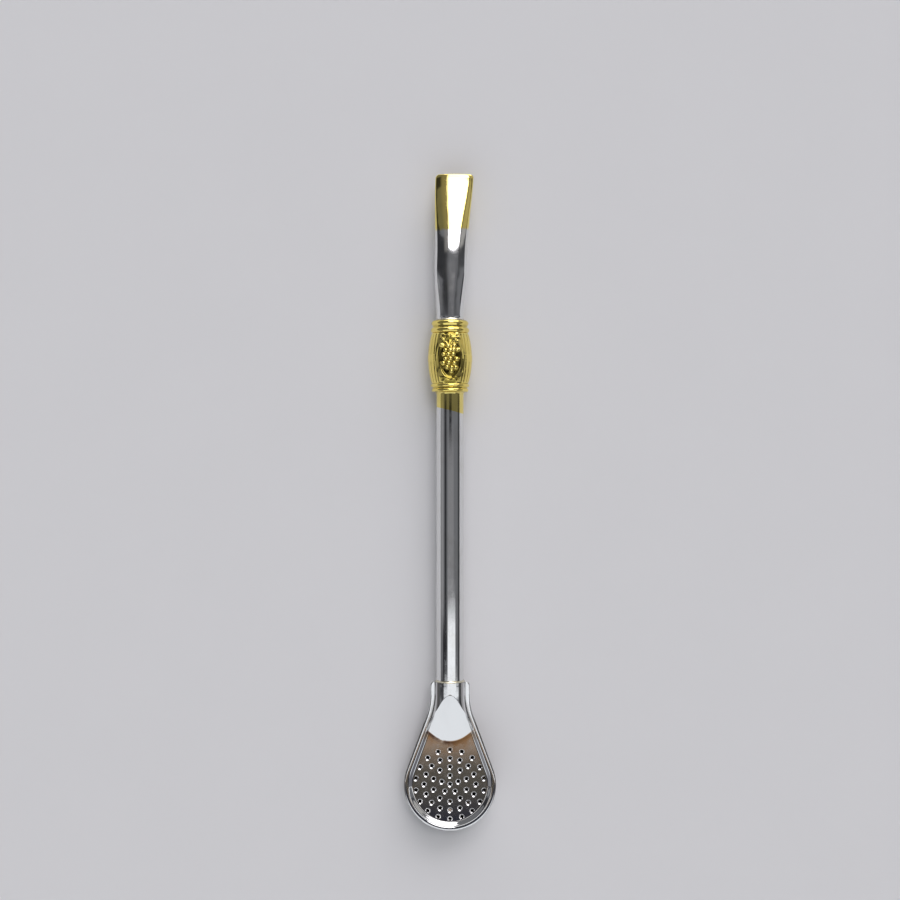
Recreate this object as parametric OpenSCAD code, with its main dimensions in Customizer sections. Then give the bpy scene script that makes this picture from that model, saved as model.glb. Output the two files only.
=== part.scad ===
// Bombilla: a metal straw with a strainer, lying face up on its ring and the back of its spoon.
// X runs across, Y runs along the straw towards the mouth tip, Z points up out of the spoon's front.

/* [Overall] */
// Length from the mouth tip to the end of the spoon
total_length = 207; // [180:1:260]
// Clearance left for solder between seated pieces
seat_gap = 0.04; // [0.02:0.01:0.08]

/* [Tubes] */
// Outside diameter of the stem
tube_d = 8.6; // [7.6:0.1:9.6]
// Wall of both tubes
tube_wall = 0.5; // [0.4:0.05:0.7]
// Length of the mouthpiece's spigot inside the stem
spigot_length = 8; // [4:0.5:12]

/* [Mouthpiece] */
// Length from the ring to the mouth tip
mouth_length = 46; // [40:1:56]
// Thickness of the pressed tube halfway up
mouth_mid_t = 5.9; // [5:0.1:6.5]
// Thickness of the pressed tube at the tip
mouth_tip_t = 2.6; // [2.2:0.1:3.6]
// Radius of the tip's two corners
tip_corner = 1.2; // [0.6:0.1:2]
// Sideways set of the tip from the stem's axis
tip_set = 1.5; // [0:0.1:3]

/* [Ring] */
// Length of the barrel-shaped ring
ring_length = 22.6; // [20:0.2:28]
// Rise of the barrel's belly above the tube
belly_rise = 2.6; // [2.2:0.1:3.2]
// Rise of the end rims above the tube
rim_rise = 1.55; // [1.3:0.05:1.7]
// Wall of the two stamped shells
ring_wall = 0.8; // [0.6:0.05:1]
// Height of each hoop at the lower end
low_hoop = 1.2; // [0.9:0.05:1.4]
// Height of each hoop at the upper end
high_hoop = 1.9; // [1.5:0.05:2.1]
// Number of staves round the barrel
stave_count = 24; // [16:2:28]
// Width of the oval medallion on the front
medallion_w = 6.6; // [5.6:0.1:7]
// Height of the oval medallion on the front
medallion_h = 12.2; // [10:0.1:12.6]
// Diameter of a grape in the medallion
berry_d = 1.35; // [1.1:0.05:1.45]

/* [Spoon] */
// Radius of the round end
blade_r = 14.5; // [12:0.25:17]
// Straight length at the top of the neck
neck_length = 3.8; // [3:0.1:8]
// Angle of the straight shoulders to the axis
shoulder_angle = 20.3; // [18:0.1:23]
// Radius that blends the shoulders into the neck
shoulder_fillet = 22; // [16:0.5:28]
// Width of each ear beside the neck channel
ear_w = 1.3; // [1.1:0.05:1.6]
// Length of stem held in the neck
socket_length = 3.6; // [3:0.2:8]
// Thickness of both pressed sheets
sheet_t = 0.5; // [0.4:0.05:0.6]

/* [Strainer] */
// Depth of the perforated face below the rim flange
recess_depth = 0.65; // [0.4:0.05:0.9]
// Width of the sloping border round the perforated face
bevel_w = 1.4; // [1:0.1:2]
// Diameter of the drilled holes
hole_d = 0.9; // [0.6:0.05:1.1]
// Diameter of the dimple pressed round each hole
dimple_d = 1.5; // [1.2:0.05:1.7]

/* [Hidden] */
$fn = 64;
hole_sides = 24;
cut_over = 1;

silver = [0.80, 0.80, 0.79];
gold = [0.86, 0.76, 0.36];
solder_grey = [0.70, 0.69, 0.62];

// Places along the straw, measured from the end of the spoon
tube_r = tube_d / 2;
ring_top = total_length - mouth_length;
ring_bottom = ring_top - ring_length;
joint_at = (ring_top + ring_bottom) / 2;
belly_r = tube_r + belly_rise;
belt_rise = 0.12;
axis_h = belly_r + belt_rise;

// Mouthpiece: a round tube pressed flat keeps its girth, so its width follows from its thickness
mouth_sides = 40;
mouth_steps = 20;
lip_steps = 3;
lip_r = tube_wall / 2;
girth = PI * tube_d;
spigot_r = tube_r - tube_wall - seat_gap;
press_start = 1;
press_length = 0.35 * mouth_length;
pinch_start = 0.445 * mouth_length;
pinch_length = mouth_length - pinch_start;
press_lift = 0.85;
pinch_drop = 0.33;
corner_share = 0.95;

// Ring profile, radius against height above its lower end
bore_r = tube_r + seat_gap;
rim_r = tube_r + rim_rise;
hoop_rise = 0.25;
groove_w = 0.3;
groove_depth = 0.35;
groove_r = rim_r - groove_depth;
body_low = 2 * low_hoop + groove_w;
body_high = ring_length - 2 * high_hoop - groove_w;
body_mid = (body_low + body_high) / 2;
body_half = (body_high - body_low) / 2;
body_step = 0.1;
body_end_r = rim_r - body_step;
body_sag = belly_r - body_end_r;
body_arc = (body_half * body_half + body_sag * body_sag) / (2 * body_sag);
belt_half = 1.05;
stave_depth = 0.15;
medallion_depth = 0.4;
medallion_sides = 40;
medallion_clear = 5;
medallion_angle = asin(medallion_w / 2 / belly_r) + medallion_clear;
seam_gap = 0.02;
berry_rows = [3, 4, 3, 4, 3, 2, 1];
berry_pitch = 1.04 * berry_d;
berry_row_pitch = 0.91 * berry_d;

// Spoon outline: a round end, straight shoulders, fillets and a straight neck
neck_gap = 0.15;
channel_in = tube_r + neck_gap;
channel_out = channel_in + sheet_t;
neck_half = channel_out + ear_w;
fillet_x = neck_half + shoulder_fillet;
fillet_s = blade_r + (blade_r + shoulder_fillet - fillet_x * cos(shoulder_angle)) / sin(shoulder_angle);
neck_top = fillet_s + neck_length;
stem_end = neck_top - socket_length;
neck_stations = 4;
fillet_stations = 6;
shoulder_stations = 11;
end_stations = 16;

// Folded hem: the back sheet wraps the strainer's edge
fold_out = 1.5 * sheet_t + seat_gap;
fold_z = sheet_t / 2;
fold_steps = 6;
lip_land = 0.3;
ledge = fold_out + sheet_t;
edge_gap = 0.2;
plate_edge = sheet_t + edge_gap;

// Bowl and channel depths below the flange
bowl_steps = 9;
panel_sink = 0.5;
bowl_depth = axis_h + panel_sink;
border_w = ledge + bevel_w;
stem_end_gap = 0.6;
face_margin = 1.8;
tongue_blend = 0.5;
ramp_top = stem_end - stem_end_gap;
ramp_foot = 2 * blade_r - border_w + face_margin;
plate_steps = 9;
hole_rings = [1, 5, 10, 16, 18];
hole_margin = 0.15;
hole_pitch = (blade_r - border_w - dimple_d / 2 - hole_margin) / (len(hole_rings) - 1);
dimple_depth = 0.7 * sheet_t;

// Solder fillets
fillet_h = 0.7;
fillet_w = 0.55;

function clamp01(u) = max(0, min(1, u));
function smooth(u) = let (v = clamp01(u)) v * v * (3 - 2 * v);
function mix(a, b, u) = a + (b - a) * u;

// Places children drawn round Z so that they run along the straw from a place on it
module along(at) {
  translate([0, at - total_length / 2, axis_h])
    rotate([-90, 0, 0])
      children();
}

// Point in the part's frame from a point across, along and above the straw's axis
function place(p) = [p[0], p[1] - total_length / 2, p[2] + axis_h];

// Triangles of one grid cell, leaving out those that close to a line
function cell(a, b, c, d, pts) = [
  for (t = [[a, b, c], [a, c, d]])
    if (norm(pts[t[0]] - pts[t[1]]) > 1e-6 && norm(pts[t[1]] - pts[t[2]]) > 1e-6
        && norm(pts[t[2]] - pts[t[0]]) > 1e-6) t
];

// Closed tube skin from a loop of rings, each ring a closed list of points
module ring_loop(rings) {
  n = len(rings);
  m = len(rings[0]);
  pts = [for (ring = rings) each ring];
  faces = [
    for (k = [0:n - 1]) for (i = [0:m - 1])
      each cell(k * m + i, k * m + (i + 1) % m,
                ((k + 1) % n) * m + (i + 1) % m, ((k + 1) % n) * m + i, pts)
  ];
  polyhedron(points = pts, faces = faces, convexity = 6);
}

// Sheet between two skins, each a grid of stations by steps, whose last steps meet on the middle line
module sheet_between(front, rear) {
  n = len(front);
  m = len(front[0]);
  pts = [for (grid = [front, rear]) for (row = grid) each row];
  function f(k, i) = k * m + i;
  function r(k, i) = (n + k) * m + i;
  faces = concat(
    [for (k = [0:n - 2]) for (i = [0:m - 2])
      each cell(f(k, i), f(k + 1, i), f(k + 1, i + 1), f(k, i + 1), pts)],
    [for (k = [0:n - 2]) for (i = [0:m - 2])
      each cell(r(k, i), r(k, i + 1), r(k + 1, i + 1), r(k + 1, i), pts)],
    [for (k = [0:n - 2])
      each cell(f(k, 0), r(k, 0), r(k + 1, 0), f(k + 1, 0), pts)],
    [for (i = [0:m - 2])
      each cell(f(0, i), f(0, i + 1), r(0, i + 1), r(0, i), pts)],
    [for (i = [0:m - 2])
      each cell(f(n - 1, i + 1), f(n - 1, i), r(n - 1, i), r(n - 1, i + 1), pts)]
  );
  polyhedron(points = pts, faces = faces, convexity = 8);
}

// Loss of half thickness at a height above the ring, in a first press and in a second towards the tip
function press_at(t) = (tube_r - mouth_mid_t / 2) * smooth((t - press_start) / press_length);
function pinch_at(t) = (mouth_mid_t - mouth_tip_t) / 2 * smooth((t - pinch_start) / pinch_length);

// Half thickness of the mouthpiece
function mouth_half_t(t) = tube_r - press_at(t) - pinch_at(t);

// Rise of the mouthpiece's middle, pressed mostly from below and then from above
function lift_at(t) = press_lift * press_at(t) - pinch_drop * pinch_at(t);

// Half width that keeps the girth
function mouth_half_w(b) = (girth - (2 * PI - 4) * b) / 4;

// Loss of half width where the tip's corners are rounded
function corner_loss(t) =
  let (u = max(0, t - mouth_length + tip_corner))
  tip_corner - sqrt(max(0, tip_corner * tip_corner - corner_share * u * u));

// Sideways set of the mouthpiece's middle line
function set_at(t) = tip_set * pow(clamp01(t / mouth_length), 2);

// One ring of the mouthpiece: a flat-sided oval inset from the tube's outside
function mouth_ring(t, inset) =
  let (b = mouth_half_t(t), a = mouth_half_w(b) - corner_loss(t))
  [for (i = [0:mouth_sides - 1])
    let (ang = (i + 0.5) * 360 / mouth_sides)
    place([set_at(t) + (a - b) * sign(cos(ang)) + (b - inset) * cos(ang),
           ring_top + t,
           lift_at(t) + (b - inset) * sin(ang)])];

// One round ring of the mouthpiece below the ring's top
function round_ring(at, r) =
  [for (i = [0:mouth_sides - 1])
    let (ang = (i + 0.5) * 360 / mouth_sides)
    place([r * cos(ang), at, r * sin(ang)])];

module mouthpiece() {
  shank = mouth_length - lip_r;
  color(silver)
    ring_loop(concat(
      [round_ring(joint_at - spigot_length, spigot_r)],
      [round_ring(joint_at + seat_gap, spigot_r)],
      [round_ring(joint_at + seat_gap, tube_r)],
      [for (k = [0:mouth_steps]) mouth_ring(shank * k / mouth_steps, 0)],
      [for (k = [1:2 * lip_steps - 1])
        let (ang = 90 * k / lip_steps)
        mouth_ring(shank + lip_r * sin(ang), lip_r - lip_r * cos(ang))],
      [for (k = [mouth_steps:-1:0]) mouth_ring(shank * k / mouth_steps, tube_wall)],
      [round_ring(joint_at + 2 * tube_wall, tube_r - tube_wall)],
      [round_ring(joint_at, spigot_r - tube_wall)],
      [round_ring(joint_at - spigot_length, spigot_r - tube_wall)]
    ));
}

module stem_tube() {
  color(silver)
    along(stem_end)
      difference() {
        cylinder(r = tube_r, h = joint_at - stem_end);
        translate([0, 0, -cut_over])
          cylinder(r = tube_r - tube_wall, h = joint_at - stem_end + 2 * cut_over);
      }
}

// Half-round hoop of the ring's profile
module hoop(at, h, r) {
  translate([bore_r, at])
    square([r - h / 2 - bore_r, h]);
  translate([r - h / 2, at + h / 2])
    circle(d = h);
}

// Barrel body out to a given rise over its own arc
module barrel_disc(rise) {
  translate([belly_r - body_arc, body_mid])
    circle(r = body_arc + rise, $fn = 128);
}

// Slice of the profile plane between two heights, outside the tube's axis
module profile_band(low, high) {
  translate([0, low])
    square([2 * belly_r, high - low]);
}

// Half section of the stamped ring
module ring_profile() {
  hoop(0, low_hoop, rim_r);
  translate([bore_r, low_hoop / 2])
    square([groove_r - bore_r, low_hoop + groove_w]);
  hoop(low_hoop + groove_w, low_hoop, rim_r + hoop_rise);
  hoop(body_high, high_hoop, rim_r + hoop_rise);
  translate([bore_r, body_high + high_hoop / 2])
    square([groove_r - bore_r, high_hoop + groove_w]);
  hoop(ring_length - high_hoop, high_hoop, rim_r);
  difference() {
    intersection() {
      barrel_disc(0);
      profile_band(body_low - low_hoop / 2, body_high + high_hoop / 2);
    }
    barrel_disc(-ring_wall);
  }
  difference() {
    intersection() {
      barrel_disc(belt_rise);
      profile_band(body_mid - belt_half, body_mid + belt_half);
    }
    barrel_disc(-ring_wall / 2);
  }
}

// V groove between two staves, following the barrel's arc
module stave_groove(ang) {
  rotate([0, 0, ang])
    intersection() {
      translate([belly_r - body_arc, 0, body_mid])
        rotate([90, 0, 0])
          rotate_extrude($fn = 128)
            translate([body_arc, 0])
              polygon([[-stave_depth, 0], [stave_depth, -2 * stave_depth], [stave_depth, 2 * stave_depth]]);
      translate([0, -belly_r, body_low + groove_w])
        cube([2 * belly_r, 2 * belly_r, body_high - body_low - 2 * groove_w]);
    }
}

// Oval that stands on the front of the ring and reaches in past its wall
module medallion_prism() {
  translate([0, 0, body_mid])
    rotate([90, 0, 0])
      linear_extrude(height = 2 * belly_r)
        polygon([for (i = [0:medallion_sides - 1])
          let (ang = 360 * i / medallion_sides)
          [medallion_w / 2 * cos(ang), medallion_h / 2 * sin(ang)]]);
}

// Recess of the medallion, with a floor that follows the barrel
module medallion_recess() {
  difference() {
    medallion_prism();
    rotate_extrude()
      intersection() {
        barrel_disc(-medallion_depth);
        profile_band(0, ring_length);
      }
  }
}

// Bunch of grapes standing on the medallion's floor
module grapes() {
  top = body_mid + (len(berry_rows) - 1) / 2 * berry_row_pitch;
  for (row = [0:len(berry_rows) - 1])
    for (i = [0:berry_rows[row] - 1]) {
      x = (i - (berry_rows[row] - 1) / 2) * berry_pitch;
      h = top - row * berry_row_pitch;
      floor_r = belly_r - body_arc - medallion_depth + sqrt(pow(body_arc, 2) - pow(h - body_mid, 2));
      translate([x, -sqrt(pow(floor_r, 2) - x * x), h])
        rotate([90, 0, 0])
          sphere(d = berry_d, $fn = 24);
    }
}

// Half of the ring on one side of the straw's middle plane, front being side 1
module ring_half(side) {
  intersection() {
    difference() {
      rotate_extrude()
        ring_profile();
      for (i = [0:stave_count / 2 - 1]) {
        ang = (i + 0.5) * 360 / stave_count;
        if (side < 0 || abs(ang - 90) > medallion_angle)
          stave_groove(-side * ang);
      }
    }
    translate([-2 * belly_r, side > 0 ? -2 * belly_r - seam_gap / 2 : seam_gap / 2, -cut_over])
      cube([4 * belly_r, 2 * belly_r, ring_length + 2 * cut_over]);
  }
}

module ring_front_shell() {
  color(gold)
    along(ring_bottom) {
      difference() {
        ring_half(1);
        medallion_recess();
      }
      grapes();
    }
}

module ring_back_shell() {
  color(gold)
    along(ring_bottom)
      ring_half(-1);
}

// Stations along the right half of the spoon's outline, from the neck's top to the end of the spoon.
// Each is a point, the inward direction, and the distance inward to the middle line.
function right_stations() = concat(
  [for (k = [0:neck_stations - 1])
    [neck_half, mix(neck_top, fillet_s, k / neck_stations), -1, 0, neck_half]],
  [for (k = [0:fillet_stations - 1])
    let (ang = 180 + shoulder_angle * k / fillet_stations,
         x = fillet_x + shoulder_fillet * cos(ang))
    [x, fillet_s + shoulder_fillet * sin(ang), cos(ang), sin(ang), -x / cos(ang)]],
  [for (k = [0:shoulder_stations - 1])
    let (u = k / shoulder_stations,
         x = mix(fillet_x - shoulder_fillet * cos(shoulder_angle), blade_r * cos(shoulder_angle), u))
    [x, mix(fillet_s - shoulder_fillet * sin(shoulder_angle), blade_r + blade_r * sin(shoulder_angle), u),
     -cos(shoulder_angle), -sin(shoulder_angle), x / cos(shoulder_angle)]],
  [for (k = [0:end_stations])
    let (ang = mix(shoulder_angle, -90, k / end_stations))
    [blade_r * cos(ang), blade_r + blade_r * sin(ang), -cos(ang), -sin(ang), blade_r]]
);

// Point of a station at a distance inward and a height, kept exactly on the middle line at its end
function station_point(st, inward, z, side) =
  let (x = st[0] + st[2] * inward)
  place([abs(x) < 1e-6 ? 0 : side * x, st[1] + st[3] * inward, z]);

// Place on the middle line that a station's section runs to
function spine_of(st) = st[1] + st[3] * st[4];

// How far a station has climbed from the foot of the neck's ramp, 0, to its top, 1, and on up the socket
function climb(st) = (spine_of(st) - ramp_foot) / (ramp_top - ramp_foot);

// How far a station belongs to the neck, 1 in the socket and 0 on the blade
function neckness(st) = clamp01(climb(st));

// Grid of both halves from each right-hand station's list of distances and heights
function both_halves(rows) =
  let (half = right_stations(), n = len(half))
  concat(
    [for (k = [0:n - 1]) [for (p = rows[k]) station_point(half[k], p[0], p[1], 1)]],
    [for (k = [n - 2:-1:0]) [for (p = rows[k]) station_point(half[k], p[0], p[1], -1)]]
  );

// Hem of one skin, from the lip over the fold to the underside of the flange
function hem_row(r) = concat(
  [[fold_out + lip_land, fold_z + r]],
  [for (i = [0:fold_steps])
    let (ang = 90 + 180 * i / fold_steps)
    [fold_out + r * cos(ang), fold_z + r * sin(ang)]]
);

// Bowl of one skin: a quarter oval from the wall down to the middle line, flat where it would go too low
function bowl_row(st, wall, top, depth, lowest) =
  [for (i = [0:bowl_steps])
    let (ang = 90 * i / bowl_steps, across = st[4] - wall)
    [st[4] - across * cos(ang), max(lowest, top - (depth + top) * sin(ang))]];

// Back section of one skin: the hem, then the bowl or the lower half of the neck channel
function back_row(st, outside) =
  let (u = neckness(st),
       inset = outside ? 0 : sheet_t,
       r = fold_out - inset,
       wall = mix(ledge, neck_half - channel_in, u) - sheet_t + inset,
       depth = mix(bowl_depth, channel_out, smooth(u)) - inset)
  concat(hem_row(r), bowl_row(st, wall, fold_z - r, depth, inset - axis_h));

module spoon_back() {
  half = right_stations();
  color(silver)
    sheet_between(
      both_halves([for (st = half) back_row(st, true)]),
      both_halves([for (st = half) back_row(st, false)])
    );
}

// Lower of two heights, rounded where they cross
function soft_min(a, b) =
  let (width = min(tongue_blend, a + b),
       near = width > 0 ? max(0, width - abs(a - b)) / width : 0)
  min(a, b) - near * near * width / 4;

// Strainer section of one skin: flange, bevel and flat face on the blade. Towards the neck an arch spans
// the section, and a sloping tongue cuts it off.
function plate_row(st, top) =
  let (flange_z = top ? sheet_t : 0,
       r = channel_in + flange_z,
       start = asin(flange_z / r),
       foot = st[4] - ledge - sheet_t + flange_z,
       tongue = (channel_in + recess_depth) * max(0, climb(st)))
  concat(
    [[plate_edge, flange_z]],
    [for (i = [0:plate_steps])
      let (flat_in = i == 0 ? ledge : mix(border_w, st[4], (i - 1) / (plate_steps - 1)),
           flat_z = i == 0 ? flange_z : flange_z - recess_depth,
           arch_in = st[4] - foot * cos(mix(start, 90, i / plate_steps)),
           inward = mix(flat_in, arch_in, neckness(st)),
           across = (st[4] - inward) / foot,
           arch = max(0, r * sqrt(max(0, 1 - across * across)) - flat_z))
      [inward, flat_z + soft_min(arch, tongue)]]
  );

// Drilled hole with its dimple, whose slope carries on above the face
module strainer_hole() {
  translate([0, 0, -cut_over])
    cylinder(d = hole_d, h = 2 * cut_over, $fn = hole_sides);
  translate([0, 0, -dimple_depth])
    cylinder(d1 = hole_d, d2 = 2 * dimple_d - hole_d, h = 2 * dimple_depth, $fn = hole_sides);
}

module strainer_plate() {
  half = right_stations();
  face_z = axis_h + sheet_t - recess_depth;
  color(silver)
    difference() {
      sheet_between(
        both_halves([for (st = half) plate_row(st, true)]),
        both_halves([for (st = half) plate_row(st, false)])
      );
      translate([0, blade_r - total_length / 2, face_z])
        for (ring = [0:len(hole_rings) - 1])
          for (i = [0:hole_rings[ring] - 1])
            rotate([0, 0, i * 360 / hole_rings[ring]])
              translate([0, ring * hole_pitch, 0])
                strainer_hole();
    }
}

// Fillet of solder round a tube, standing on an end face
module solder_fillet(at, up) {
  along(at)
    mirror([0, 0, up > 0 ? 0 : 1])
      rotate_extrude()
        polygon([[bore_r, seat_gap], [bore_r + fillet_w, seat_gap], [bore_r, fillet_h]]);
}

module ring_top_solder() {
  color(solder_grey)
    solder_fillet(ring_top, 1);
}

module ring_bottom_solder() {
  color(gold)
    solder_fillet(ring_bottom, -1);
}

module neck_solder() {
  color(solder_grey)
    solder_fillet(neck_top, 1);
}

mouthpiece();
stem_tube();
ring_front_shell();
ring_back_shell();
strainer_plate();
spoon_back();
ring_top_solder();
ring_bottom_solder();
neck_solder();
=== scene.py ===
"""Looks of a bombilla: two polished tubes, a gold barrel ring with grapes and a perforated strainer spoon.

Sizes are in millimetres. A place on the straw is given across it (x), along it from the end of the
spoon (s) and above its axis (z). Straw.place turns such places into metres in the part's frame.
"""

import logging
import math
from dataclasses import dataclass
from enum import Enum
from typing import Optional, Sequence

import bmesh
import bpy
import numpy as np
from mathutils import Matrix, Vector
from mathutils.geometry import delaunay_2d_cdt


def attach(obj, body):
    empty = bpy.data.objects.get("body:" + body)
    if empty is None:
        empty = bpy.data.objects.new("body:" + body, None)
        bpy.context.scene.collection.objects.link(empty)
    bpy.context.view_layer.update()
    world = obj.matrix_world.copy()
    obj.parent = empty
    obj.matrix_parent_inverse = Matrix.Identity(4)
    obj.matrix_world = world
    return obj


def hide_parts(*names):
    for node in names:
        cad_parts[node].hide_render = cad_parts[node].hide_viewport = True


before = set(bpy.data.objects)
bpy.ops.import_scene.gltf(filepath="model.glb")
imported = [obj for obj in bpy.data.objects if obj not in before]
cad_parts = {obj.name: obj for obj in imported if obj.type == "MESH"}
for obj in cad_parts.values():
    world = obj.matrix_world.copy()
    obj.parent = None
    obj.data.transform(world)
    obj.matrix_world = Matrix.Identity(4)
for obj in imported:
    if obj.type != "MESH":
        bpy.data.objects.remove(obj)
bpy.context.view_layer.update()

MM = 0.001
LOG = logging.getLogger("bombilla")

Array = np.ndarray
Colour = tuple[float, float, float]
Span = tuple[float, float]
Stations = dict[str, np.ndarray]
Socket = bpy.types.NodeSocket
Piece = bpy.types.Object


class Side(Enum):
    """Half of the ring, by the direction that it faces from the straw's middle plane."""

    FRONT = 1
    BACK = -1


class Slot(Enum):
    """Material slots of the record."""

    SILVER = "nickel_silver"
    GOLD = "gold_plate"
    SOLDER = "solder"


def clamp01(u: Array) -> Array:
    """Value held between 0 and 1."""
    return np.clip(u, 0.0, 1.0)


def smooth(u: Array) -> Array:
    """Smooth step from 0 to 1: three squares less two cubes of the clamped value."""
    v = clamp01(u)
    return v * v * (3.0 - 2.0 * v)


def mix(a: Array, b: Array, u: Array) -> Array:
    """Straight blend from a at 0 to b at 1."""
    return a + (b - a) * u


def ridge(d: Array, half: float) -> Array:
    """Round bead of unit height: a quarter circle's root on the distance over the half width."""
    return np.sqrt(np.clip(1.0 - (d / half) ** 2, 0.0, 1.0))


# Meshes from grids


def grid_faces(rows: int, cols: int, wrap_rows: bool = False, wrap_cols: bool = False) -> Array:
    """Four-cornered faces of a grid of points numbered row by row.

    Args:
        rows: number of rows.
        cols: number of points in a row.
        wrap_rows: whether the last row joins the first.
        wrap_cols: whether the last point of a row joins its first.

    Returns:
        Array of faces by their four point numbers.
    """
    i, j = np.meshgrid(
        np.arange(rows if wrap_rows else rows - 1),
        np.arange(cols if wrap_cols else cols - 1),
        indexing="ij",
    )
    k, m = (i + 1) % rows, (j + 1) % cols
    return np.stack([i * cols + j, k * cols + j, k * cols + m, i * cols + m], -1).reshape(-1, 4)


def closed_sheet(front: Array, rear: Array, meets: bool = False) -> tuple[Array, Array]:
    """Closed sheet between two grids of the same size: both skins and the four edges between them.

    Args:
        front: grid of points, rows by columns by 3.
        rear: the other skin's grid.
        meets: whether the last column lies on itself, so that no edge is needed there.

    Returns:
        Points and faces.
    """
    rows, cols = front.shape[:2]
    skin = grid_faces(rows, cols)
    number = np.arange(rows * cols).reshape(rows, cols)
    loop = np.concatenate([number[0, :-1], number[:-1, -1], number[-1, :0:-1], number[:0:-1, 0]])
    after = np.roll(loop, -1)
    off = rows * cols
    edge = np.stack([loop, after, after + off, loop + off], -1)
    if meets:
        last = cols - 1
        edge = edge[(loop % cols != last) | (after % cols != last)]
    points = np.concatenate([front.reshape(-1, 3), rear.reshape(-1, 3)])
    return points, np.concatenate([skin, skin[:, ::-1] + off, edge])


def new_piece(
    name: str,
    points: Array,
    faces: Sequence,
    sharp: float = 40.0,
    weld: float = 2e-7,
    recess: Optional[Array] = None,
) -> Piece:
    """Mesh object from points and faces, welded, turned outwards and shaded smooth up to an angle.

    Args:
        name: the piece's name.
        points: points in metres.
        faces: faces by point numbers.
        sharp: angle in degrees past which an edge stays sharp.
        weld: distance in metres below which points become one.
        recess: painted shade of each point from 0 to 1, kept as an attribute for the finish.

    Returns:
        The linked object, riding on the part's body.
    """
    mesh = bpy.data.meshes.new(name)
    mesh.from_pydata(np.asarray(points).tolist(), [], [list(map(int, f)) for f in faces])
    if recess is not None:
        layer = mesh.attributes.new("recess", "FLOAT", "POINT")
        layer.data.foreach_set("value", recess.astype(np.float32))
    work = bmesh.new()
    work.from_mesh(mesh)
    bmesh.ops.remove_doubles(work, verts=work.verts, dist=weld)
    bmesh.ops.dissolve_degenerate(work, edges=work.edges, dist=weld)
    bmesh.ops.recalc_face_normals(work, faces=work.faces)
    if work.calc_volume(signed=True) < 0:
        bmesh.ops.reverse_faces(work, faces=work.faces)
    open_edges = sum(1 for e in work.edges if not e.is_manifold)
    work.to_mesh(mesh)
    work.free()
    mesh.polygons.foreach_set("use_smooth", np.ones(len(mesh.polygons), bool))
    mesh.set_sharp_from_angle(angle=math.radians(sharp))
    piece = bpy.data.objects.new(name, mesh)
    bpy.context.scene.collection.objects.link(piece)
    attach(piece, "root")
    LOG.info("%s: %d faces, %d open edges", name, len(mesh.polygons), open_edges)
    return piece


# Finishes


class Graph:
    """Small builder for the nodes of one material or world."""

    def __init__(self, owner: bpy.types.ID) -> None:
        """Starts an empty node tree on a material or world."""
        owner.use_nodes = True
        self.tree = owner.node_tree
        self.tree.nodes.clear()

    def add(self, kind: str, inputs: Optional[dict] = None, **settings) -> bpy.types.Node:
        """Adds a node.

        Args:
            kind: the node's type name.
            inputs: values or sockets by input name or number.
            settings: properties of the node.

        Returns:
            The new node.
        """
        node = self.tree.nodes.new(kind)
        for key, value in settings.items():
            setattr(node, key, value)
        for key, value in (inputs or {}).items():
            if isinstance(value, Socket):
                self.tree.links.new(value, node.inputs[key])
            else:
                node.inputs[key].default_value = value
        return node

    def math(self, operation: str, a, b=0.0) -> Socket:
        """Result socket of a sum on two values or sockets."""
        return self.add("ShaderNodeMath", {0: a, 1: b}, operation=operation).outputs[0]

    def times(self, value, *others) -> Socket:
        """Product of values or sockets."""
        for other in others:
            value = self.math("MULTIPLY", value, other)
        return value

    def axes(self, kind: str) -> Sequence[Socket]:
        """The three parts of a texture coordinate, such as the place on the piece."""
        spot = self.add("ShaderNodeTexCoord").outputs[kind]
        return self.add("ShaderNodeSeparateXYZ", {0: spot}).outputs

    def step(self, value, low: float, high: float, to_low=0.0, to_high=1.0) -> Socket:
        """Smooth step of a socket between two values, onto a range."""
        node = self.add(
            "ShaderNodeMapRange",
            {"Value": value, 1: low, 2: high, 3: to_low, 4: to_high},
            interpolation_type="SMOOTHSTEP",
        )
        return node.outputs[0]

    def noise(self, scale: Sequence[float], detail: float = 3.0, rough: float = 0.55) -> Socket:
        """Noise over the piece, with its own scale along each axis, in waves a metre."""
        spot = self.add("ShaderNodeTexCoord").outputs["Object"]
        place = self.add("ShaderNodeMapping", {"Vector": spot, "Scale": tuple(scale)})
        node = self.add(
            "ShaderNodeTexNoise",
            {"Vector": place.outputs[0], "Scale": 1.0, "Detail": detail, "Roughness": rough},
        )
        return node.outputs["Fac"]

    def blend(self, share, a, b) -> Socket:
        """Colour blend from a to b by a share."""
        node = self.add("ShaderNodeMix", data_type="RGBA")
        for key, value in (("Factor_Float", share), ("A_Color", a), ("B_Color", b)):
            socket = next(s for s in node.inputs if s.identifier == key)
            if isinstance(value, Socket):
                self.tree.links.new(value, socket)
            elif key == "Factor_Float":
                socket.default_value = value
            else:
                socket.default_value = (*value, 1.0)
        return next(s for s in node.outputs if s.identifier == "Result_Color")


@dataclass(frozen=True)
class Plating:
    """Gold plate that covers a tube above a slanted, slightly ragged line.

    Fields are in metres in the part's frame: the line's height, its slope across, its softness and the
    height of its ragged waves.
    """

    line: float
    slope: float
    soft: float
    ragged: float


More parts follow.
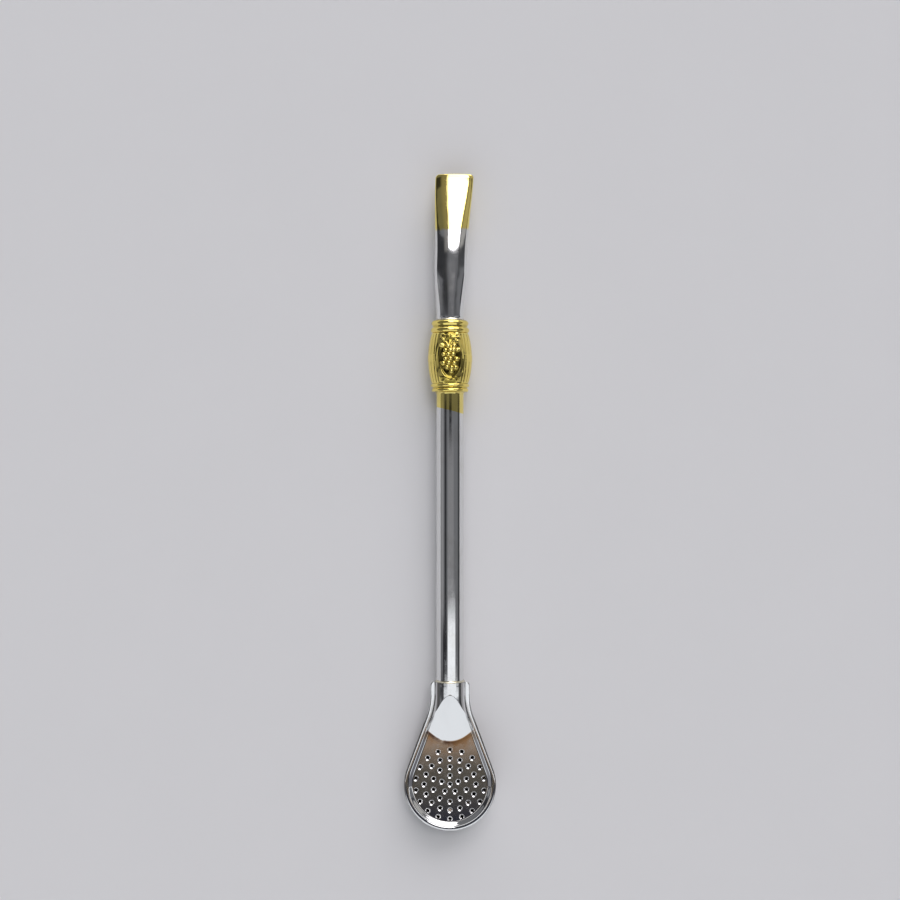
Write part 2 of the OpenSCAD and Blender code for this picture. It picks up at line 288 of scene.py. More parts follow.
@dataclass(frozen=True)
class Metal:
    """Polished metal with drawn streaks, fine scratches, a little stain and, with relief, painted shade."""

    colour: Colour
    stain_and_shade: Colour
    roughness: float
    streak: float
    stain_share: float
    relief: bool = False

    def tone(self, graph: Graph) -> Socket:
        """Base colour: the metal's own, stained in soft clouds and, with relief, darkened by painted shade in
        its recesses.

        Args:
            graph: the material's nodes.

        Returns:
            Colour socket.
        """
        cloud = graph.step(graph.noise((160.0, 110.0, 160.0), 4.0), 0.45, 0.75, 0.0, self.stain_share)
        tone = graph.blend(cloud, self.colour, self.stain_and_shade)
        if self.relief:
            # With relief, the recess attribute lays painted shade in the metal's dark colour
            depth = graph.add("ShaderNodeAttribute", attribute_name="recess").outputs["Fac"]
            tone = graph.blend(depth, tone, self.stain_and_shade)
        return tone

    def polish(self, graph: Graph, streaks: Socket, rubs: Socket) -> Socket:
        """Roughness: the metal's own, with more where it is rubbed and along the drawn streaks.

        Args:
            graph: the material's nodes.
            streaks: noise drawn out along the straw.
            rubs: cloudy noise.

        Returns:
            Roughness socket.
        """
        rubbed = graph.step(rubs, 0.35, 0.75, self.roughness, self.roughness + self.streak)
        return graph.math("ADD", rubbed, graph.step(streaks, 0.5, 0.8, 0.0, self.streak * 0.6))


NICKEL: Colour = (0.80, 0.80, 0.80)
TARNISH: Colour = (0.62, 0.60, 0.55)

SILVER = Metal(NICKEL, TARNISH, 0.045, 0.05, 0.35)
SATIN = Metal(NICKEL, TARNISH, 0.075, 0.035, 0.35)
# The dark colours of the bowl, the plate and the gold are painted shade where the recess attribute lays them;
# their clouds are tarnish
PAINTED_SHADE_BOWL = Metal(NICKEL, (0.10, 0.085, 0.07), 0.045, 0.05, 0.04, relief=True)
STAMPED = Metal(NICKEL, (0.10, 0.095, 0.09), 0.045, 0.04, 0.04, relief=True)
GOLD = Metal((0.95, 0.77, 0.22), (0.24, 0.185, 0.03), 0.06, 0.04, 0.28, relief=True)
TIP_GOLD = Metal((0.90, 0.75, 0.25), (0.62, 0.49, 0.12), 0.05, 0.05, 0.30)
SOLDER = Metal((0.72, 0.68, 0.54), (0.42, 0.37, 0.24), 0.22, 0.10, 0.60)


@dataclass(frozen=True)
class CreasePaint:
    """Painted light on the plate below a bowed line: a warm painted reflection that fades and a painted
    shadow along its edge.

    Fields are in metres in the part's frame: the line's height on the middle line, its bow across per metre,
    the length of the warm painted reflection, the line's softness, where the painted shadow fades, and where
    across the plate its strong left side fades.
    """

    line: float
    bow: float
    fade: float
    soft: float = 0.0004
    shadow_fade: Span = (0.0003, 0.0016)
    strong: Span = (-0.002, 0.004)
    warm: Colour = (0.62, 0.42, 0.22)
    crease_shadow: Colour = (0.16, 0.10, 0.09)

    def tint(self, graph: Graph, tone: Socket) -> Socket:
        """Blends the painted reflection and the painted shadow over a colour, broken by noise.

        Args:
            graph: the material's nodes.
            tone: colour of the clean metal.

        Returns:
            Colour socket.
        """
        axes = graph.axes("Object")
        rise = graph.times(axes[0], axes[0], self.bow)
        below = graph.math("SUBTRACT", self.line, graph.math("SUBTRACT", axes[1], rise))
        under = graph.step(below, -self.soft, 0.0)
        blotch = graph.noise((260.0, 260.0, 260.0), 3.0)
        # Warm painted reflection fading down from the line, broken by noise
        warm = graph.times(graph.step(below, 0.0, self.fade, 1.0, 0.0), graph.step(blotch, 0.30, 0.62), under)
        tone = graph.blend(warm, tone, self.warm)
        # Painted shadow along the line, stronger on the left side
        left = graph.step(axes[0], *self.strong, 1.0, 0.35)
        edge = graph.times(graph.step(below, *self.shadow_fade, 0.9, 0.0), graph.step(blotch, 0.25, 0.50))
        return graph.blend(graph.times(edge, left, under), tone, self.crease_shadow)


@dataclass(frozen=True)
class Finish:
    """Material made of one metal, or of a metal with gold plate above a line."""

    metal: Metal
    plating: Optional[Plating] = None
    crease_paint: Optional[CreasePaint] = None

    def cover(self, graph: Graph) -> Socket:
        """Share of the plate at a place: a smooth step over its ragged, slanted line."""
        plating, axes = self.plating, graph.axes("Object")
        height = graph.math("ADD", axes[1], graph.times(axes[0], -plating.slope))
        ragged = graph.math("SUBTRACT", graph.noise((900.0, 500.0, 900.0), 2.0), 0.5)
        height = graph.math("ADD", height, graph.times(ragged, plating.ragged))
        return graph.step(height, plating.line - plating.soft, plating.line + plating.soft)

    def build(self, name: str) -> bpy.types.Material:
        """Builds the material.

        Args:
            name: the material's name.

        Returns:
            The material.
        """
        material = bpy.data.materials.new(name)
        graph = Graph(material)
        tone = self.metal.tone(graph)
        # Painted reflection and shadow below the plate's crease
        if self.crease_paint:
            tone = self.crease_paint.tint(graph, tone)
        streaks = graph.noise((2600.0, 60.0, 2600.0), 4.0, 0.6)
        rubs = graph.noise((420.0, 380.0, 420.0), 5.0, 0.65)
        rough = self.metal.polish(graph, streaks, rubs)
        if self.plating:
            cover = self.cover(graph)
            tone = graph.blend(cover, tone, TIP_GOLD.tone(graph))
            bare = graph.times(rough, graph.math("SUBTRACT", 1.0, cover))
            gilt = graph.times(TIP_GOLD.polish(graph, streaks, rubs), cover)
            rough = graph.math("ADD", bare, gilt)
        scratch = graph.math("ADD", streaks, rubs)
        bump = graph.add("ShaderNodeBump", {"Strength": 0.12, "Distance": 0.000006, "Height": scratch})
        shader = graph.add(
            "ShaderNodeBsdfPrincipled",
            {"Base Color": tone, "Metallic": 1.0, "Roughness": rough, "Normal": bump.outputs[0]},
        )
        graph.add("ShaderNodeOutputMaterial", {"Surface": shader.outputs[0]})
        return material


# The straw


@dataclass(frozen=True)
class Straw:
    """Shared places along the straw and the frame that they stand in."""

    total_length: float = 207.0
    tube_r: float = 4.3
    tube_wall: float = 0.5
    seat_gap: float = 0.04
    mouth_length: float = 46.0
    ring_length: float = 22.6
    axis_h: float = 7.02

    @property
    def ring_top(self) -> float:
        """Upper end of the ring."""
        return self.total_length - self.mouth_length

    @property
    def ring_bottom(self) -> float:
        """Lower end of the ring."""
        return self.ring_top - self.ring_length

    @property
    def joint_at(self) -> float:
        """Joint of the two tubes, hidden in the ring."""
        return (self.ring_top + self.ring_bottom) / 2.0

    def along(self, s: float) -> float:
        """Height in metres, along the part's Y axis, of a place on the straw."""
        return (s - self.total_length / 2.0) * MM

    def place(self, x: Array, s: Array, z: Array) -> Array:
        """Points in metres from places across, along and above the straw's axis."""
        x, s, z = np.broadcast_arrays(x, s, z)
        return np.stack([x, s - self.total_length / 2.0, z + self.axis_h], -1) * MM


@dataclass
class Tubes:
    """Stem and mouthpiece: one straight tube, and one pressed flat towards its tip."""

    straw: Straw
    stem_end: float
    mid_t: float = 5.9
    tip_t: float = 2.6
    tip_corner: float = 1.2
    tip_set: float = 1.5
    spigot_length: float = 8.0
    shank_step: float = 1.0
    press_start: float = 1.0
    press_length: float = 16.1
    pinch_start: float = 20.5
    pinch_length: float = 25.5
    press_lift: float = 0.92
    pinch_lift: float = -0.33
    dent: float = 0.003
    sides: int = 144
    steps: int = 150
    lip_steps: int = 8
    gold_line: float = 189.4
    band_line: float = 132.6

    def press(self, t: Array) -> Array:
        """Loss of half thickness in the first press: a smooth step above the ring."""
        return (self.straw.tube_r - self.mid_t / 2.0) * smooth((t - self.press_start) / self.press_length)

    def pinch(self, t: Array) -> Array:
        """Loss of half thickness in the second press: a smooth step that ends at the tip."""
        return (self.mid_t - self.tip_t) / 2.0 * smooth((t - self.pinch_start) / self.pinch_length)

    def half_thickness(self, t: Array) -> Array:
        """Half thickness above the ring: the tube's radius less both presses."""
        return self.straw.tube_r - self.press(t) - self.pinch(t)

    def lift(self, t: Array) -> Array:
        """Rise of the tube's middle, since the first press comes from below and the second from above."""
        return self.press_lift * self.press(t) + self.pinch_lift * self.pinch(t)

    def half_width(self, t: Array) -> Array:
        """Half width that keeps the tube's girth, less the rounding of the tip's corners."""
        half = (2.0 * math.pi * self.straw.tube_r - (2.0 * math.pi - 4.0) * self.half_thickness(t)) / 4.0
        over = np.maximum(0.0, t - self.straw.mouth_length + self.tip_corner)
        return half - self.tip_corner + np.sqrt(np.maximum(0.0, self.tip_corner**2 - 0.95 * over**2))

    def mouth_points(self, t: Array, inset: Array) -> Array:
        """Rings of the mouthpiece: super-ovals whose power grows from 2, round, to 3 as the tube flattens.

        Args:
            t: height of each ring above the barrel ring.
            inset: distance of each ring inside the tube's outside.

        Returns:
            Grid of points, rings by sides.
        """
        t, inset = t[:, None], inset[:, None]
        ang = (np.arange(self.sides)[None, :] + 0.5) * 2.0 * math.pi / self.sides
        b, a = self.half_thickness(t), self.half_width(t)
        power = 2.0 / (2.0 + 0.45 * smooth(t) + 0.55 * clamp01((a - b - 1.2) / 3.5))
        x = (a - inset) * np.sign(np.cos(ang)) * np.abs(np.cos(ang)) ** power
        z = (b - inset) * np.sign(np.sin(ang)) * np.abs(np.sin(ang)) ** power
        lean = self.tip_set * clamp01(t / self.straw.mouth_length) ** 2
        wave = np.sin(0.62 * t + 0.5 * x + 0.9)
        wave = wave + 0.7 * np.sin(1.13 * t - 0.9 * x + 2.1) + 0.5 * np.sin(1.9 * t + 1.7)
        dent = self.dent * wave * smooth((t - 2.0) / 8.0) * smooth((self.straw.mouth_length - 0.5 - t) / 3.0)
        return self.straw.place(x + lean, self.straw.ring_top + t, z + self.lift(t) + dent)

    def mouthpiece(self) -> Piece:
        """Mouthpiece: a loop of rings up the outside, round the lip and down the bore to the spigot."""
        straw = self.straw
        lip = straw.tube_wall / 2.0
        joint = straw.joint_at - straw.ring_top
        top = straw.mouth_length - lip
        gap = straw.tube_wall + straw.seat_gap
        rise = np.linspace(0.0, top, self.steps)
        turn = np.linspace(0.0, math.pi, self.lip_steps + 1)[1:-1]
        seat, end = joint + straw.seat_gap, joint - self.spigot_length
        shank, bore = [end, seat, seat, joint + self.shank_step], [joint + self.shank_step, joint, end]
        t = np.concatenate([shank, rise, top + lip * np.sin(turn), rise[::-1], bore])
        inset = np.concatenate([
            [gap, gap, 0.0, 0.0],
            np.zeros(self.steps),
            lip - lip * np.cos(turn),
            np.full(self.steps, straw.tube_wall),
            [straw.tube_wall, gap + straw.tube_wall, gap + straw.tube_wall],
        ])
        points = self.mouth_points(t, inset)
        faces = grid_faces(*points.shape[:2], True, True)
        piece = new_piece("mouth_tube", points.reshape(-1, 3), faces, 50.0)
        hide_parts("mouthpiece")
        return piece

    def stem(self) -> Piece:
        """Stem: a round tube, as a loop of rings up its outside and down its bore."""
        straw = self.straw
        up = np.linspace(self.stem_end, straw.joint_at, self.steps)
        s = np.concatenate([up, up[::-1]])[:, None]
        r = np.repeat([straw.tube_r, straw.tube_r - straw.tube_wall], self.steps)[:, None]
        ang = np.arange(self.sides)[None, :] * 2.0 * math.pi / self.sides
        points = straw.place(r * np.cos(ang), s, r * np.sin(ang))
        faces = grid_faces(*points.shape[:2], True, True)
        piece = new_piece("stem", points.reshape(-1, 3), faces)
        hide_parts("stem_tube")
        return piece

    def dress(self, mouth: Piece, stem: Piece) -> None:
        """Gives both tubes their silver, with gold above the dip lines."""
        tip = Plating(self.straw.along(self.gold_line), slope=0.04, soft=0.0005, ragged=0.0014)
        band = Plating(self.straw.along(self.band_line), slope=-0.255, soft=0.00012, ragged=0.0003)
        mouth.data.materials.append(Finish(SATIN, tip).build("silver_with_gold_tip"))
        stem.data.materials.append(Finish(SILVER, band).build("silver_with_gold_band"))


@dataclass
class BarrelRing:
    """Two stamped gold half shells shaped as a barrel, the front one with a bunch of grapes."""

    straw: Straw
    belly_rise: float = 2.6
    rim_rise: float = 1.55
    wall: float = 0.8
    low_hoop: float = 1.2
    high_hoop: float = 1.9
    hoop_rise: float = 0.25
    groove_w: float = 0.3
    groove_depth: float = 0.35
    belt_rise: float = 0.12
    belt_half: float = 1.05
    staves: int = 24
    stave_depth: float = 0.08
    stave_edge: float = 0.26
    stave_crown: float = 0.06
    stave_end: float = 0.6
    stave_shade: float = 0.28
    medallion: Span = (3.3, 6.1)
    medallion_depth: float = 0.4
    medallion_wall: float = 0.45
    bead_rise: float = 0.08
    bead_at: float = 0.30
    bead_half: float = 0.55
    ground_darkening: float = 0.92
    floor_shade: float = 0.9
    berry_r: float = 0.78
    berry_rise: float = 0.78
    berry_rows: tuple[tuple[float, ...], ...] = (
        (-2.4, -0.6, 1.5),
        (-1.5, 0.1, 1.2, 2.45),
        (-2.1, -0.5, 0.95),
        (-1.55, 0.15, 2.3),
        (-2.2, -0.45, 1.35),
        (-1.0, 0.55, 1.9),
        (0.45,),
    )
    berry_pitch: float = 1.36
    stalk_rise: float = 0.34
    bar_rise: float = 0.24
    leaf_rise: float = 0.16
    scroll_rise: float = 0.13
    scroll_at: Span = (2.2, 6.7)
    hoop_shade: float = 0.55
    columns: int = 184
    rows: int = 180
    seam_gap: float = 0.02

    def __post_init__(self) -> None:
        """Works out the profile's places from the sizes."""
        straw = self.straw
        self.bore_r = straw.tube_r + straw.seat_gap
        self.rim_r = straw.tube_r + self.rim_rise
        self.belly_r = straw.tube_r + self.belly_rise
        self.low = 2.0 * self.low_hoop + self.groove_w
        self.high = straw.ring_length - 2.0 * self.high_hoop - self.groove_w
        self.mid = (self.low + self.high) / 2.0
        half, sag = (self.high - self.low) / 2.0, self.belly_r - self.rim_r + 0.1
        self.arc = (half**2 + sag**2) / (2.0 * sag)

    def barrel(self, h: Array) -> Array:
        """Radius of the plain barrel: an arc of a circle through the belly and both ends."""
        return self.belly_r - self.arc + np.sqrt(np.maximum(0.0, self.arc**2 - (h - self.mid) ** 2))

    def hoops(self, h: Array) -> Array:
        """Radius of the four end hoops: half circles with grooves between them."""
        top = self.straw.ring_length
        radius = np.full_like(h, self.bore_r)
        for low, size, crest in (
            (0.0, self.low_hoop, self.rim_r),
            (self.low_hoop + self.groove_w, self.low_hoop, self.rim_r + self.hoop_rise),
            (self.high, self.high_hoop, self.rim_r + self.hoop_rise),
            (top - self.high_hoop, self.high_hoop, self.rim_r),
        ):
            bead = crest - size / 2.0 + size / 2.0 * ridge(h - low - size / 2.0, size / 2.0)
            radius = np.where((h >= low - 1e-6) & (h <= low + size + 1e-6), np.maximum(radius, bead), radius)
        floor = self.rim_r - self.groove_depth
        ends = (h > self.low_hoop / 2.0) & (h < top - self.high_hoop / 2.0)
        return np.where(ends, np.maximum(radius, floor), radius)

    def body(self, ang: Array, h: Array, side: Side) -> tuple[Array, Array]:
        """Relief of the barrel's body over the plain arc, and its recess, the share of painted shade and
        darkening at each point.

        Staves are grooves with a rounded edge at equal angles. The belt is a low flat band. On the front a
        raised oval bead frames a sunk floor that carries half-round berries, a stalk, a leaf and two scrolls.

        Args:
            ang: angle round the straw of each point, 90 degrees being the front.
            h: height of each point over the ring's lower end.
            side: which half.

        Returns:
            Relief in millimetres and recess from 0 to 1.
        """
        radius = self.barrel(h)
        step = 2.0 * math.pi / self.staves
        off = np.abs((ang / step) % 1.0 - 0.5) * 2.0
        gap = 1.0 - smooth((1.0 - off) * step * radius / 2.0 / self.stave_edge)
        fade = smooth((h - self.low) / self.stave_end) * smooth((self.high - h) / self.stave_end)
        belt = smooth((self.belt_half - np.abs(h - self.mid)) / 0.2 + 0.5)
        plain = (self.stave_crown * (1.0 - off**2) - self.stave_depth * gap) * fade
        relief = mix(plain, self.belt_rise + 0.35 * plain, belt)
        # Painted shade lies in the stave grooves, less on the belt
        recess = self.stave_shade * gap * fade * (1.0 - 0.6 * belt)
        if side is Side.BACK:
            return relief, recess
        x, y = radius * np.cos(ang), h - self.mid
        oval = np.hypot(x / self.medallion[0], y / self.medallion[1])
        away = (oval - 1.0) * self.medallion[0] * 0.8
        plate = smooth((1.15 - away) / 0.3) * smooth((9.0 - np.abs(y)) / 0.4)
        relief = mix(relief, 0.0, plate)
        recess = recess * (1.0 - plate)
        bead = self.bead_rise * smooth(1.0 - np.abs(away - self.bead_at) / self.bead_half)
        inside = smooth(-away / self.medallion_wall + 0.5)
        relief = relief + bead - self.medallion_depth * inside
        # The plate is painted darker towards both ends of the medallion
        ground = self.ground_darkening * plate * smooth((np.abs(y) - 5.4) / 0.6)
        # The sunk floor round the grapes gets painted shade
        sunk = self.floor_shade * smooth((0.2 - away) / self.medallion_wall + 0.5)
        recess = np.maximum(np.maximum(recess, ground), sunk)
        motif = self.motif(x, y)
        relief = relief + motif
        # Raised ornament loses most of the painted shade, so that its tops stay bright
        recess = recess * (1.0 - 0.85 * clamp01(motif / 0.35))
        return relief, recess

    def motif(self, x: Array, y: Array) -> Array:
        """Raised ornament of the front: berries, stalk, leaf, bar and scrolls, the highest counting."""
        rng = np.random.default_rng(7)
        height = np.zeros_like(x)
        top = (len(self.berry_rows) - 1) / 2.0 * self.berry_pitch - 0.4
        for row, places in enumerate(self.berry_rows):
            for place in places:
                dx, dy, size = rng.uniform(-0.08, 0.08), rng.uniform(-0.12, 0.12), rng.uniform(0.92, 1.04)
                r = self.berry_r * size
                d = np.hypot(x - place - dx, y - top + row * self.berry_pitch - dy)
                height = np.maximum(height, self.berry_rise * r * ridge(d, r))
        stalk = self.stroke(x, y, (-2.3, 6.1), (-0.9, 4.3), 0.3)
        leaf_u = (x - 1.5) * 0.8 + (y - 5.0) * 0.6
        leaf_v = -(x - 1.5) * 0.6 + (y - 5.0) * 0.8
        leaf = self.leaf_rise * ridge(np.hypot(leaf_u / 1.5, leaf_v / 0.85), 1.0)
        veins = 0.8 + 0.2 * np.cos(9.0 * leaf_u - 6.0 * np.abs(leaf_v))
        leaf = leaf * (1.0 - 0.5 * ridge(leaf_v, 0.16)) * veins
        bar = self.stroke(x, y, (0.5, 6.4), (2.9, 6.5), 0.32)
        shapes = [height, self.stalk_rise * stalk, self.bar_rise * bar, leaf]
        for side in (-1.0, 1.0):
            for end in (-1.0, 1.0):
                across, along = side * self.scroll_at[0], end * self.scroll_at[1]
                curl = smooth(1.0 - np.abs(np.hypot(x - across, y - along) - 0.6) / 0.4)
                tail = self.stroke(x, y, (side * 1.6, along), (side * 0.3, along + end * 0.55), 0.34)
                shapes.append(self.scroll_rise * np.maximum(curl, tail))
        return np.max(shapes, axis=0)

    @staticmethod
    def stroke(x: Array, y: Array, start: Span, end: Span, half: float) -> Array:
        """Round bead of unit height along a straight line, from the distance to that line."""
        run, rise = end[0] - start[0], end[1] - start[1]
        u = clamp01(((x - start[0]) * run + (y - start[1]) * rise) / (run**2 + rise**2))
        return ridge(np.hypot(x - start[0] - u * run, y - start[1] - u * rise), half)

    def shell(self, side: Side) -> Piece:
        """One half shell: an outer skin on a grid of angle by height, and a hollow inner skin.

        Args:
            side: which half.

        Returns:
            The shell, with the recess kept as a point attribute.
        """
        straw = self.straw
        trim = math.asin(self.seam_gap / 2.0 / self.belly_r)
        start = 0.0 if side is Side.FRONT else math.pi
        ang = np.linspace(start + trim, start + math.pi - trim, self.columns)[None, :]
        eps = 1e-4
        edges = np.cumsum([0.0, self.low_hoop, self.groove_w, self.low_hoop])
        tops = straw.ring_length - np.cumsum([0.0, self.high_hoop, self.groove_w, self.high_hoop])[::-1]
        curve = (1.0 - np.cos(np.linspace(0.0, math.pi, 13))) / 2.0
        bands = []
        for low, high in (*zip(edges[:-1], edges[1:]), (self.low, self.high), *zip(tops[:-1], tops[1:])):
            count = np.linspace(0.0, 1.0, self.rows) if high - low > 3.0 else curve
            bands.append(low + eps + (high - low - 2.0 * eps) * count)
        h = np.concatenate(bands)[:, None]
        in_body = (h > self.low) & (h < self.high)
        relief, recess = self.body(ang + 0.0 * h, h + 0.0 * ang, side)
        outer = np.where(in_body, self.barrel(h) + relief, self.hoops(h) + 0.0 * ang)
        hollow = np.maximum(self.bore_r, np.where(in_body, self.barrel(h) - self.wall, self.bore_r))
        outer = np.maximum(outer, hollow + 0.25)
        inner = hollow + 0.0 * ang
        s = straw.ring_bottom + h
        skins = [straw.place(r * np.cos(ang), s, r * np.sin(ang)) for r in (outer, inner)]
        points, faces = closed_sheet(*skins)
        name = "ring_front" if side is Side.FRONT else "ring_back"
        # Painted shade lies in the grooves between the hoops
        groove = 1.0 - clamp01((self.hoops(h) - self.rim_r + 0.45) / 0.3)
        stain_and_shade = np.where(in_body, recess, self.hoop_shade * groove + 0.0 * ang)
        recess = np.concatenate([stain_and_shade.ravel(), np.zeros(stain_and_shade.size)])
        piece = new_piece(name, points, faces, 60.0, 1e-9, recess)
        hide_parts("ring_front_shell" if side is Side.FRONT else "ring_back_shell")
        return piece

    def dress(self, *shells: Piece) -> None:
        """Gives the shells their gold."""
        gold = Finish(GOLD).build("gold_ring")
        for shell in shells:
            shell.data.materials.append(gold)


@dataclass
class Spoon:
    """Strainer spoon: a bowl whose rim is folded over the edge of a perforated front plate."""

    straw: Straw
    blade_r: float = 14.5
    neck_length: float = 3.8
    shoulder_deg: float = 20.3
    fillet: float = 22.0
    ear_w: float = 1.3
    socket_length: float = 3.6
    sheet_t: float = 0.5
    hem_square: float = 3.2
    neck_gap: float = 0.15
    lip_land: float = 0.3
    edge_gap: float = 0.2
    panel_sink: float = 0.5
    stem_end_gap: float = 0.2
    face_margin: float = 2.1
    crease_drop: float = 2.66
    tongue_blend: float = 0.02
    recess: float = 0.65
    bevel_w: float = 1.4
    hole_d: float = 1.0
    dimple_r: float = 0.88
    dimple_depth: float = 0.34
    collar: Span = (0.15, 0.35)
    collar_share: Span = (0.125, 0.14)
    neck_corner: float = 1.0
    hole_rings: tuple[int, ...] = (1, 5, 10, 16, 18)
    hole_margin: float = 0.9
    hole_sides: int = 28
    dimple_rings: int = 7
    dimple_past: float = 0.1
    # Painted shade on the rim's side: where it starts low and ends high along the straw, and how far past the
    # lip, each with a softness
    rim_shade_low: Span = (7.0, 6.0)
    rim_shade_high: Span = (38.0, 5.0)
    rim_shade_step: Span = (4.0, 4.0)
    flank_shade: Span = (0.55, 0.95)
    dimple_shade: float = 0.15
    warm_fade: float = 0.0055
    corner_steps: int = 8
    neck_steps: int = 12
    ramp_steps: int = 56
    shoulder_steps: int = 20
    end_steps: int = 120
    back_fillet_steps: int = 24
    plate_fillet_steps: int = 110
    fold_steps: int = 25
    bowl_steps: int = 61
    bevel_steps: int = 12
    face_steps: int = 48

    def __post_init__(self) -> None:
        """Works out the outline's places and the folds from the sizes."""
        self.phi = math.radians(self.shoulder_deg)
        self.channel_in = self.straw.tube_r + self.neck_gap
        self.channel_out = self.channel_in + self.sheet_t
        self.neck_half = self.channel_out + self.ear_w
        self.fillet_x = self.neck_half + self.fillet
        reach = self.blade_r + self.fillet - self.fillet_x * math.cos(self.phi)
        self.fillet_s = self.blade_r + reach / math.sin(self.phi)
        self.neck_top = self.fillet_s + self.neck_length
        self.stem_end = self.neck_top - self.socket_length
        self.fold_out = 1.5 * self.sheet_t + self.straw.seat_gap
        self.fold_z = self.sheet_t / 2.0
        self.ledge = self.fold_out + self.sheet_t
        self.plate_edge = self.sheet_t + self.edge_gap
        self.border = self.ledge + self.bevel_w
        self.collar_end = 1 + self.bevel_steps + len(self.collar)
        self.bowl_depth = self.straw.axis_h + self.panel_sink
        self.ramp_top = self.stem_end - self.stem_end_gap
        self.ramp_foot = 2.0 * self.blade_r - self.border + self.face_margin
        self.hole_pitch = (self.blade_r - self.border - self.hole_margin) / (len(self.hole_rings) - 1)

    def stations(self, fillet_steps: int) -> Stations:
        """Places along the right half of the outline, from the neck's top to the spoon's end.

        The outline is a straight neck, a fillet arc, a straight shoulder and a round end. The shoulder is
        split where its section runs to the foot of the neck's ramp.

        Args:
            fillet_steps: places along the fillet arc.

        Returns:
            Arrays x, s, the inward direction nx, ns, the distance inward to the middle line, and the
            number of the station at the ramp's foot.
        """
        cos, sin = math.cos(self.phi), math.sin(self.phi)
        corner = np.linspace(0.0, math.pi / 2.0, self.corner_steps, endpoint=False)
        neck = np.linspace(self.neck_top - self.neck_corner, self.fillet_s, self.neck_steps, endpoint=False)
        way = np.linspace(0.0, 1.0, fillet_steps, endpoint=False)
        turn = math.pi + self.phi * mix(way, way**2, 0.75)
        high = (self.fillet_x - self.fillet * cos, self.fillet_s - self.fillet * sin)
        low = (self.blade_r * cos, self.blade_r + self.blade_r * sin)
        tan = sin / cos
        spines = [p[1] - p[0] * tan for p in (high, low)]
        cut = (spines[0] - self.ramp_foot) / (spines[0] - spines[1])
        run = np.concatenate([
            np.linspace(0.0, cut, self.ramp_steps, endpoint=False),
            np.linspace(cut, 1.0, self.shoulder_steps, endpoint=False),
        ])
        end = np.linspace(self.phi, -math.pi / 2.0, self.end_steps)
        x = np.concatenate([
            self.neck_half - self.neck_corner * (1.0 - np.sin(corner)),
            np.full(self.neck_steps, self.neck_half),
            self.fillet_x + self.fillet * np.cos(turn),
            mix(high[0], low[0], run),
            self.blade_r * np.cos(end),
        ])
        s = np.concatenate([
            self.neck_top - self.neck_corner * (1.0 - np.cos(corner)),
            neck,
            self.fillet_s + self.fillet * np.sin(turn),
            mix(high[1], low[1], run),
            self.blade_r + self.blade_r * np.sin(end),
        ])
        level = np.ones(self.corner_steps + self.neck_steps)
        slope = np.ones(run.size)
        nx = np.concatenate([-level, np.cos(turn), -cos * slope, -np.cos(end)])
        ns = np.concatenate([0.0 * level, np.sin(turn), -sin * slope, -np.sin(end)])
        foot = level.size + fillet_steps + self.ramp_steps
        dist = np.where(np.arange(len(x)) < foot + self.shoulder_steps, -x / nx, self.blade_r)
        return {"x": x, "s": s, "nx": nx, "ns": ns, "dist": dist, "foot": np.array(foot)}

    def climb(self, st: Stations) -> Array:
        """Climb of each station's section from the ramp's foot, 0, to its top, 1, and on up the socket."""
        spine = st["s"] + st["ns"] * st["dist"]
        return (spine - self.ramp_foot) / (self.ramp_top - self.ramp_foot)

    def neckness(self, st: Stations) -> Array:
        """Share of the neck in each station's section, 1 in the socket and 0 on the blade."""
        return clamp01(self.climb(st))

    def lower_of(self, a: Array, b: Array) -> Array:
        """Lower of two heights, rounded where they cross."""
        width = np.minimum(self.tongue_blend, a + b)
        near = np.maximum(0.0, width - np.abs(a - b)) / np.maximum(width, 1e-9)
        return np.minimum(a, b) - near**2 * width / 4.0

    def both_halves(self, st: Stations, inward: Array, z: Array, drop: Array = 0.0) -> Array:
        """Points of both halves of the spoon from sections given as distances inward and heights.

        Args:
            st: stations of the right half.
            inward: distance from the outline, stations by steps.
            z: height over the straw's axis, stations by steps.
            drop: shift towards the spoon's end, stations by steps.

        Returns:
            Grid of points from the right neck round the end to the left neck.
        """
        x = np.maximum(0.0, st["x"][:, None] + st["nx"][:, None] * inward)
        s = st["s"][:, None] + st["ns"][:, None] * inward - drop
        right = self.straw.place(x, s, z)
        left = self.straw.place(-x, s, z)[::-1]
        return np.concatenate([right, left[1:]])

    def back_section(self, st: Stations, inset: float) -> tuple[Array, Array]:
        """Section of one skin of the back: lip, half-round fold, then a quarter oval to the middle line.

        Args:
            st: stations.
            inset: distance inside the outer skin.

        Returns:
            Distances inward and heights, stations by steps.
        """
        u = self.neckness(st)[:, None]
        r = self.fold_out - inset
        dist = st["dist"][:, None]
        squeeze = clamp01((dist - self.channel_out) / self.ear_w)
        turn = math.pi / 2.0 + np.linspace(0.0, math.pi, self.fold_steps)[None, :]
        flat = 2.0 / np.where(turn < math.pi, self.hem_square, 2.0)
        curl_in, curl_z = (np.sign(c) * np.abs(c) ** flat for c in (np.cos(turn), np.sin(turn)))
        hem_in = np.concatenate([[[self.fold_out + self.lip_land]], self.fold_out + r * curl_in], 1) * squeeze
        hem_z = np.concatenate([[[self.fold_z + r]], self.fold_z + r * curl_z], 1)
        ang = np.linspace(0.0, math.pi / 2.0, self.bowl_steps)[None, :]
        wall = mix(self.ledge, dist - self.channel_in, u) - self.sheet_t + inset
        depth = mix(self.bowl_depth, self.channel_out, smooth(u)) - inset
        top = self.fold_z - r
        bowl_in = dist - (dist - wall) * np.cos(ang)
        bowl_z = np.maximum(inset - self.straw.axis_h, top - (depth + top) * np.sin(ang))
        rows = (len(st["x"]), hem_in.shape[1])
        return (
            np.concatenate([np.broadcast_to(hem_in, rows), bowl_in], 1),
            np.concatenate([np.broadcast_to(hem_z, rows), bowl_z], 1),
        )

